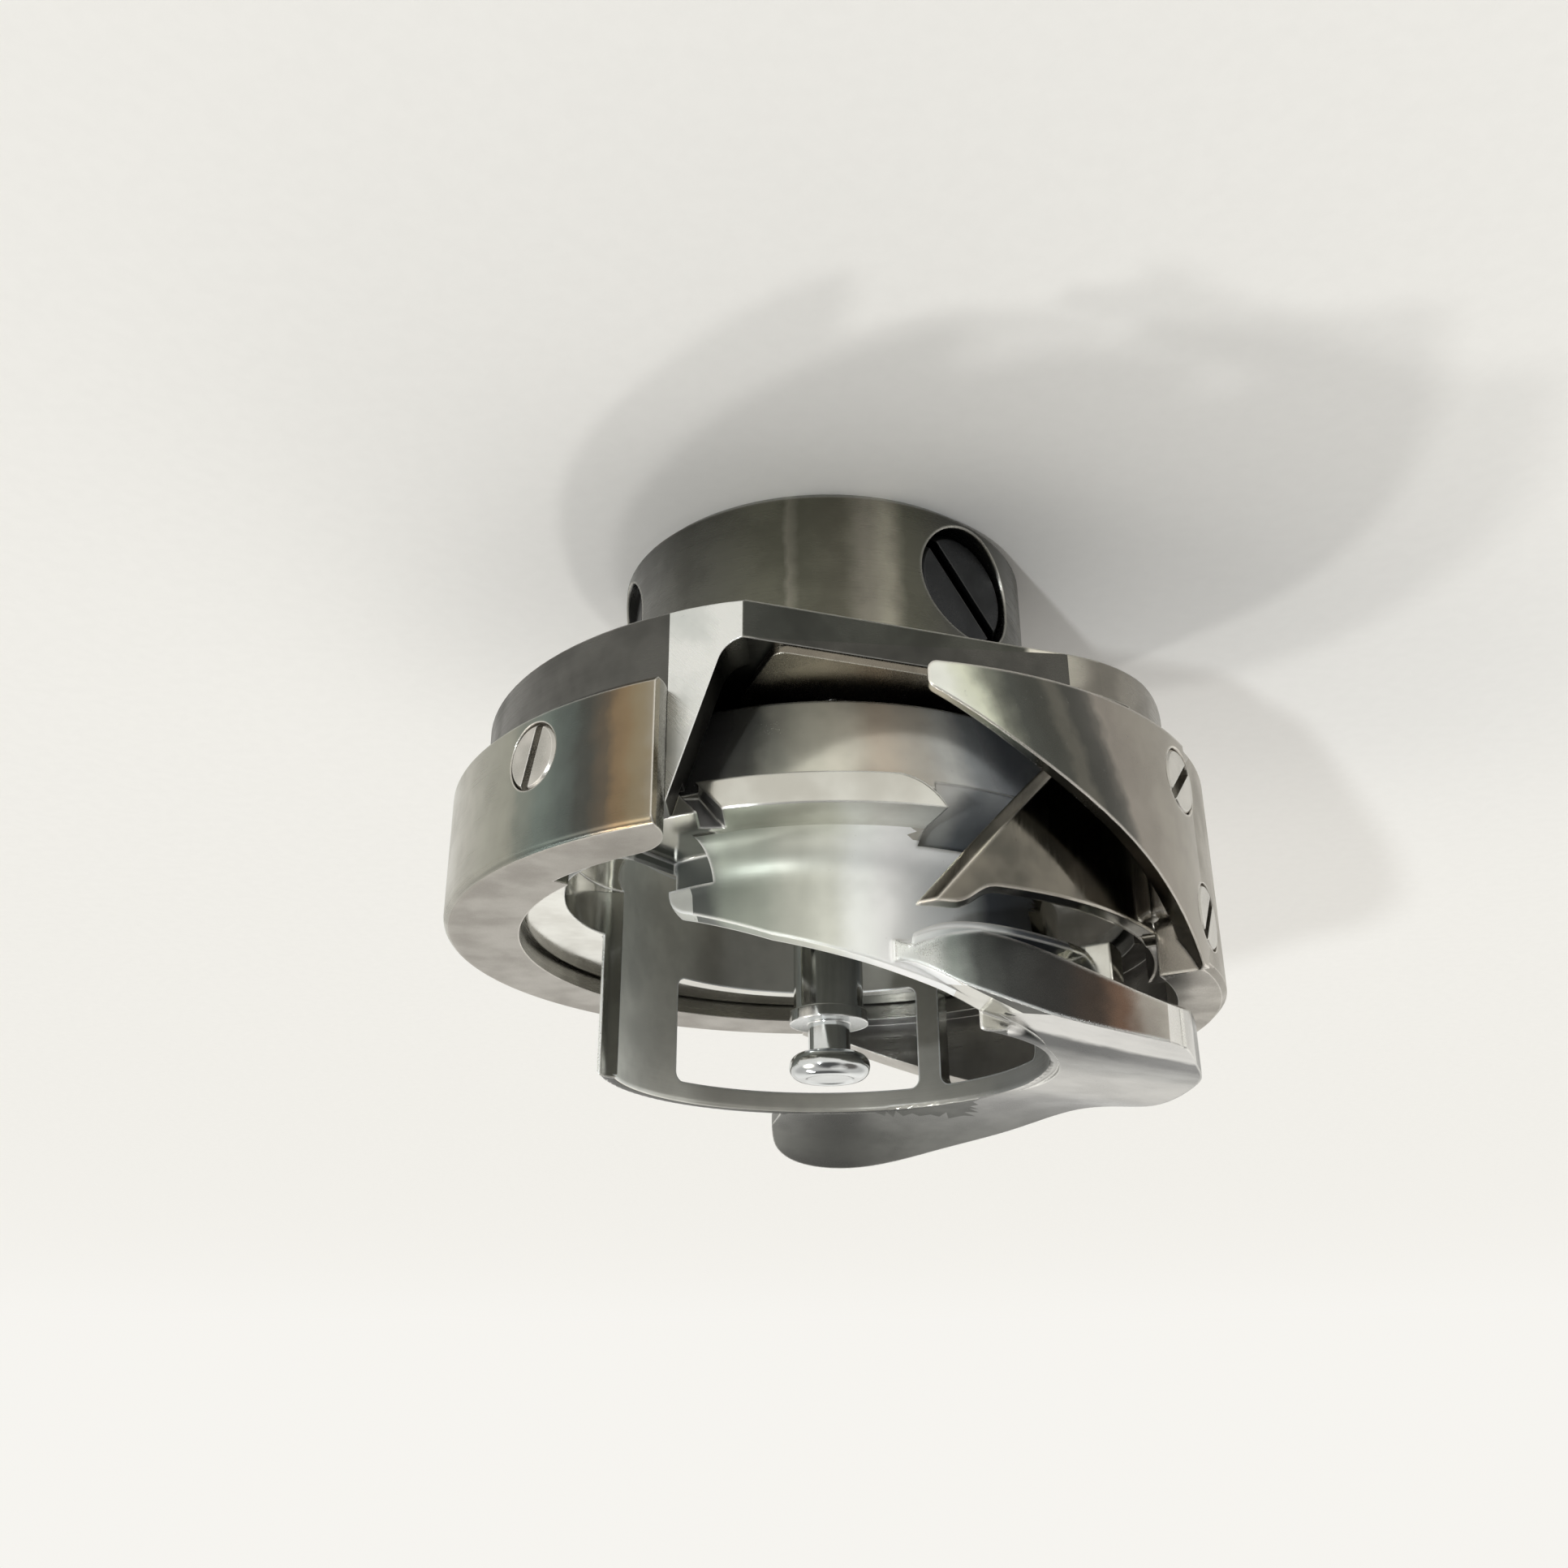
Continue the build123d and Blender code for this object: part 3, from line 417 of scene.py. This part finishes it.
# The inside of the basket: turned, with painted shade darkest near -115 degrees and a painted
# highlight palest from 100 to 128
BORE = (0.4, 0.39, 0.35)
bore_steel = metal(
    "bore_steel", BORE, (0.32, 0.31, 0.28), 0.4, grain="turned", metallic=0.6,
    edge=(0.93, 0.96, 0.98), edge_width=0.22, painted_light_tints=(
        (-180.0, BORE), (-140.0, (0.26, 0.26, 0.24)), (-115.0, (0.15, 0.155, 0.15)),
        (0.0, (0.3, 0.3, 0.27)), (60.0, (0.5, 0.5, 0.45)), (100.0, (0.86, 0.89, 0.85)),
        (128.0, (0.8, 0.8, 0.74)), (146.0, (0.46, 0.45, 0.41)), (180.0, BORE),
    ),
)
# The column's end: pale, with bluish-white edges, a painted highlight
column_steel = metal(
    "column_steel", (0.76, 0.78, 0.74), (0.64, 0.65, 0.61), 0.3, grain="turned", metallic=0.5,
    edge=(0.95, 0.97, 0.98), edge_width=0.3,
)
# The horn along X, painted reflections: bright corner, brown band, dark satin leaf, bright root
horn_steel = metal(
    "horn_steel", (0.42, 0.43, 0.41), (0.34, 0.34, 0.32), 0.36, spread=0.1, grain_depth=0.6,
    edge=(0.95, 0.95, 0.92), edge_width=0.34, along="x", painted_light_tints=(
        (-20.0, (0.8, 0.78, 0.72)), (-16.8, (0.75, 0.72, 0.66)), (-15.4, (0.4, 0.37, 0.33)),
        (-14.1, (0.17, 0.11, 0.08)), (-12.8, (0.065, 0.052, 0.044)), (-11.0, (0.045, 0.044, 0.042)),
        (-8.8, (0.06, 0.062, 0.06)), (-7.4, (0.13, 0.137, 0.13)), (-6.2, (0.42, 0.46, 0.43)),
        (-5.0, (0.92, 0.95, 0.92)), (0.0, (0.9, 0.93, 0.9)),
    ),
)
# The collar's front along Y, painted reflections: bright along the horn, dark behind it and round
# the far side
collar_steel = metal(
    "collar_steel", (0.3, 0.3, 0.28), (0.24, 0.24, 0.225), 0.2, spread=0.05, grain_depth=0.1,
    edge=(0.95, 0.95, 0.91), edge_width=0.2, along="y", grazing=(0.75, 0.75, 0.75), painted_light_tints=(
        (-16.0, (0.96, 0.95, 0.92)), (-9.4, (0.93, 0.92, 0.89)), (-8.4, (0.03, 0.032, 0.03)),
        (-6.8, (0.03, 0.032, 0.03)), (-5.0, (0.26, 0.262, 0.25)), (-3.0, (0.46, 0.46, 0.44)),
        (0.0, (0.74, 0.73, 0.7)), (4.0, (0.7, 0.69, 0.66)), (9.0, (0.26, 0.26, 0.25)),
        (17.0, (0.15, 0.152, 0.14)), (20.0, (0.12, 0.12, 0.11)), (24.0, (0.2, 0.2, 0.18)),
    ),
)
rim_steel = metal(
    "rim_steel", (0.2, 0.202, 0.19), (0.15, 0.152, 0.143), 0.2, spread=0.05, grain_depth=0.1,
    edge=(0.97, 0.97, 0.95), edge_width=0.16, grazing=(0.5, 0.5, 0.5),
)


# ---- which face gets which material --------------------------------------------------------

def paint(node, materials, choose):
    """Give a CAD node its materials; choose names one for each face's middle and normal."""
    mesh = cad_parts[node].data
    mesh.materials.clear()
    for material in materials:
        mesh.materials.append(material)
    for face in mesh.polygons:
        face.material_index = materials.index(choose(face.center, face.normal))


def place_on_axis(middle, normal):
    """Distance from the shaft axis, bearing in degrees, and how far the face looks outward."""
    reach = math.hypot(middle.x, middle.y)
    bearing = math.degrees(math.atan2(middle.x, -middle.y))
    outward = (middle.x * normal.x + middle.y * normal.y) / max(reach, MM)
    return reach, bearing, outward


def hook_finish(middle, normal):
    reach, bearing, _ = place_on_axis(middle, normal)
    if middle.z < DISC_REAR and reach < HUB_RADIUS + OFF_ROUND:
        return hub_steel
    if reach < RACE_RADIUS and middle.z > DISC_MIDDLE:
        return race_steel
    on_ring = reach > RING_INSIDE and middle.z > RING_REAR
    if on_ring or reach > DISC_RADIUS + OFF_ROUND:
        if POINT_START < bearing < POINT_END:
            return point_steel
        if bearing > HEEL_START or bearing < HEEL_END:
            return heel_steel
    by_facet = FACET_START < bearing < FACET_END and reach > FACET_INSIDE
    if by_facet and middle.z > DISC_REAR and abs(normal.z) < FACET_Z and normal.x > FACET_X:
        return facet_steel
    if normal.y < FLAT_Y and normal.x < FLAT_X:
        return flat_steel
    return disc_steel


def basket_finish(middle, normal):
    reach, bearing, outward = place_on_axis(middle, normal)
    on_horn_plane = abs(middle.y - HORN_FACE_Y) < OFF_FLAT and normal.y < -SQUARE_ON
    if on_horn_plane and middle.x < HORN_END_X:
        return horn_steel
    faces_in = outward < BORE_OUTWARD or normal.z > SQUARE_ON
    if faces_in and reach < BASKET_BORE + OFF_ROUND:
        return bore_steel
    if middle.z > COLLAR_LEFT_REAR and middle.x < COLLAR_LEFT_X:
        return collar_steel
    if middle.z > COLLAR_FAR_REAR and middle.y > COLLAR_FAR_Y:
        return collar_steel
    if middle.z > RIM_REAR and normal.z > SQUARE_ON:
        return rim_steel
    if COLUMN_START < bearing < COLUMN_END and outward > 0.0 and middle.z > COLUMN_REAR:
        return column_steel
    rear = TONGUE_REAR if bearing > RIB_END else TONGUE_REAR_PAST_RIB
    by_tongue = abs(bearing) < TONGUE_HALF and rear < middle.z < TONGUE_FRONT
    if by_tongue and outward > TONGUE_OUTWARD and reach > BASKET_BORE:
        return tongue_steel
    if outward > FLANK_OUTWARD and middle.z < FLANK_FRONT and reach < FLANK_RADIUS:
        return flank_steel
    return chrome


def gib_finish(middle, normal):
    if normal.z > SQUARE_ON:
        return gib_face_steel
    outward = place_on_axis(middle, normal)[2]
    return gib_steel if outward > 0 else gib_bore_steel


paint(
    "hook_body",
    [hub_steel, disc_steel, flat_steel, facet_steel, race_steel, point_steel, heel_steel],
    hook_finish,
)
paint(
    "basket",
    [chrome, flank_steel, bore_steel, horn_steel, collar_steel, rim_steel, column_steel,
     tongue_steel],
    basket_finish,
)
paint("hook_gib", [gib_steel, gib_face_steel, gib_bore_steel], gib_finish)
ONE_FINISH = {
    "latch_stud": stud_chrome, "thread_guard": guard_steel, "needle_guard": plate_steel,
    "hub_set_screw": black_steel, "gib_screw": screw_steel, "thread_guard_screw": screw_steel,
    "needle_guard_screw": screw_steel,
}
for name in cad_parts:
    finish = ONE_FINISH.get(name, ONE_FINISH.get(name.rsplit("_", 1)[0]))
    if finish:
        paint(name, [finish], lambda middle, normal: finish)


# ---- floor, world and lamps ----------------------------------------------------------------

PAPER = (0.95, 0.94, 0.915)
HORIZON = (0.925, 0.91, 0.872)
CEILING = (0.63, 0.62, 0.598)
# Soft areas of the room: azimuth, elevation, inner and outer half angle, colour
ROOM = (
    (90.0, 18.0, 22.0, 50.0, (1.12, 1.1, 1.06)),
    (-90.0, 40.0, 14.0, 40.0, (0.1, 0.1, 0.1)),
    (-20.0, 30.0, 9.0, 20.0, (2.6, 2.5, 2.3)),
    (200.0, 35.0, 12.0, 30.0, (0.16, 0.15, 0.14)),
    (80.0, 64.0, 10.0, 26.0, (0.12, 0.12, 0.12)),
)
# The floor's radius in metres
FLOOR_RADIUS = 4.0
# The paper melts into the horizon colour between these distances from the shaft, in millimetres
PAPER_END, HORIZON_START = 120.0, 900.0
FIBRE_SCALE, FIBRE_SHADE, FIBRE_BAND, FIBRE_HEIGHT = 0.9, 0.985, (0.3, 0.7), 0.05 * MM
# Heights of the looking direction where the wall dims to the ceiling and where the horizon ends
CEILING_RISE = (0.1, 0.5)
HORIZON_RISE = (0.24, 0.34)


def make_floor():
    """White paper that takes shadows and fades into the horizon for camera and mirror rays."""
    ring = bmesh.new()
    bmesh.ops.create_circle(ring, cap_ends=True, segments=96, radius=FLOOR_RADIUS)
    mesh = bpy.data.meshes.new("floor")
    ring.to_mesh(mesh)
    ring.free()
    floor = bpy.data.objects.new("floor", mesh)
    bpy.context.collection.objects.link(floor)

    sh = Shader("paper")
    x, y, _, reach = sh.split()
    fibres = sh.noise(sh.vector(x, y, 0.0), FIBRE_SCALE, detail=5.0, rough=0.6)
    shaded = rgb(*(FIBRE_SHADE * part for part in PAPER))
    paper = sh.mix(sh.spread(fibres, *FIBRE_BAND), rgb(*PAPER), shaded)
    bump = sh.add("ShaderNodeBump", Strength=0.05, Distance=FIBRE_HEIGHT, Height=fibres)
    matte = sh.add("ShaderNodeBsdfDiffuse", Color=paper, Normal=bump.outputs[0])
    glow = sh.add("ShaderNodeEmission", Color=rgb(*HORIZON), Strength=1.0)
    path = sh.add("ShaderNodeLightPath").outputs
    seen = sh.math("ADD", path["Is Camera Ray"], path["Is Glossy Ray"])
    seen = sh.math("ADD", seen, path["Is Transmission Ray"], clamp=True)
    far = sh.spread(reach, PAPER_END, HORIZON_START)
    join = sh.add("ShaderNodeMixShader")
    sh.put(join.inputs[0], sh.math("MULTIPLY", far, seen))
    sh.put(join.inputs[1], matte.outputs[0])
    sh.put(join.inputs[2], glow.outputs[0])
    mesh.materials.append(sh.finish(join.outputs[0]))


def make_world():
    """A pale room: a horizon like the paper, a dimmer ceiling, and soft bright and dark areas."""
    world = bpy.data.worlds.new("room")
    bpy.context.scene.world = world
    sky = Nodes(world)
    looking = sky.add("ShaderNodeTexCoord").outputs["Generated"]
    height = sky.add("ShaderNodeSeparateXYZ", Vector=looking).outputs["Z"]
    colour = sky.mix(sky.spread(height, *CEILING_RISE), rgb(*HORIZON), rgb(*CEILING))
    for azimuth, elevation, inner, outer, shade in ROOM:
        nearness = sky.dot(looking, heading(azimuth, elevation))
        edge, core = math.cos(math.radians(outer)), math.cos(math.radians(inner))
        colour = sky.mix(sky.spread(nearness, edge, core), colour, rgb(*shade))
    colour = sky.mix(sky.spread(height, *HORIZON_RISE), rgb(*HORIZON), colour)
    background = sky.add("ShaderNodeBackground", Color=colour)
    output = sky.add("ShaderNodeOutputWorld")
    sky.put(output.inputs["Surface"], background.outputs[0])


def sun(name, azimuth, elevation, strength, softness, colour):
    """A distant lamp at an azimuth and an elevation, with soft shadows."""
    data = bpy.data.lights.new(name, "SUN")
    data.energy = strength
    data.angle = math.radians(softness)
    data.color = colour
    light = bpy.data.objects.new(name, data)
    light.rotation_mode = "QUATERNION"
    light.rotation_quaternion = Vector(heading(azimuth, elevation)).to_track_quat("Z", "Y")
    bpy.context.collection.objects.link(light)


# Lamps: azimuth, elevation, strength, softness in degrees, colour
LAMPS = {
    "key": (46.0, 60.0, 0.34, 4.0, (1.0, 0.99, 0.96)),
    "window": (22.0, 55.0, 0.34, 6.0, (1.0, 0.99, 0.96)),
    "side": (-60.0, 22.0, 1.1, 3.0, (0.94, 0.98, 1.0)),
    "ceiling": (-134.0, 60.0, 0.1, 40.0, (1.0, 0.98, 0.94)),
}

make_floor()
make_world()
for lamp, settings in LAMPS.items():
    sun(lamp, *settings)


# ---- camera --------------------------------------------------------------------------------

# The camera's own axes and place, from the fit to the outlines in the photo. The photo is turned
# by half a turn, so up points down along the shaft.
CAMERA_RIGHT = (-0.9995, 0.0324, 0.0049)
CAMERA_UP = (-0.0172, -0.3898, -0.9207)
CAMERA_BACK = (-0.0279, -0.9203, 0.3901)
CAMERA_PLACE = (0.0, -0.08243, 0.04778)
# In millimetres, so that the focal length is 1800 of the photo's pixels
SENSOR_WIDTH = 36.0
FOCAL_LENGTH = 33.54

camera_data = bpy.data.cameras.new("camera")
camera = bpy.data.objects.new("camera", camera_data)
bpy.context.collection.objects.link(camera)
pose = Matrix((CAMERA_RIGHT, CAMERA_UP, CAMERA_BACK)).transposed().to_4x4()
pose.translation = CAMERA_PLACE
camera.matrix_world = pose
camera_data.sensor_width = SENSOR_WIDTH
camera_data.lens = FOCAL_LENGTH
camera_data.clip_start = 0.005
camera_data.clip_end = 20.0
bpy.context.scene.camera = camera
bpy.context.scene.view_settings.view_transform = "Standard"
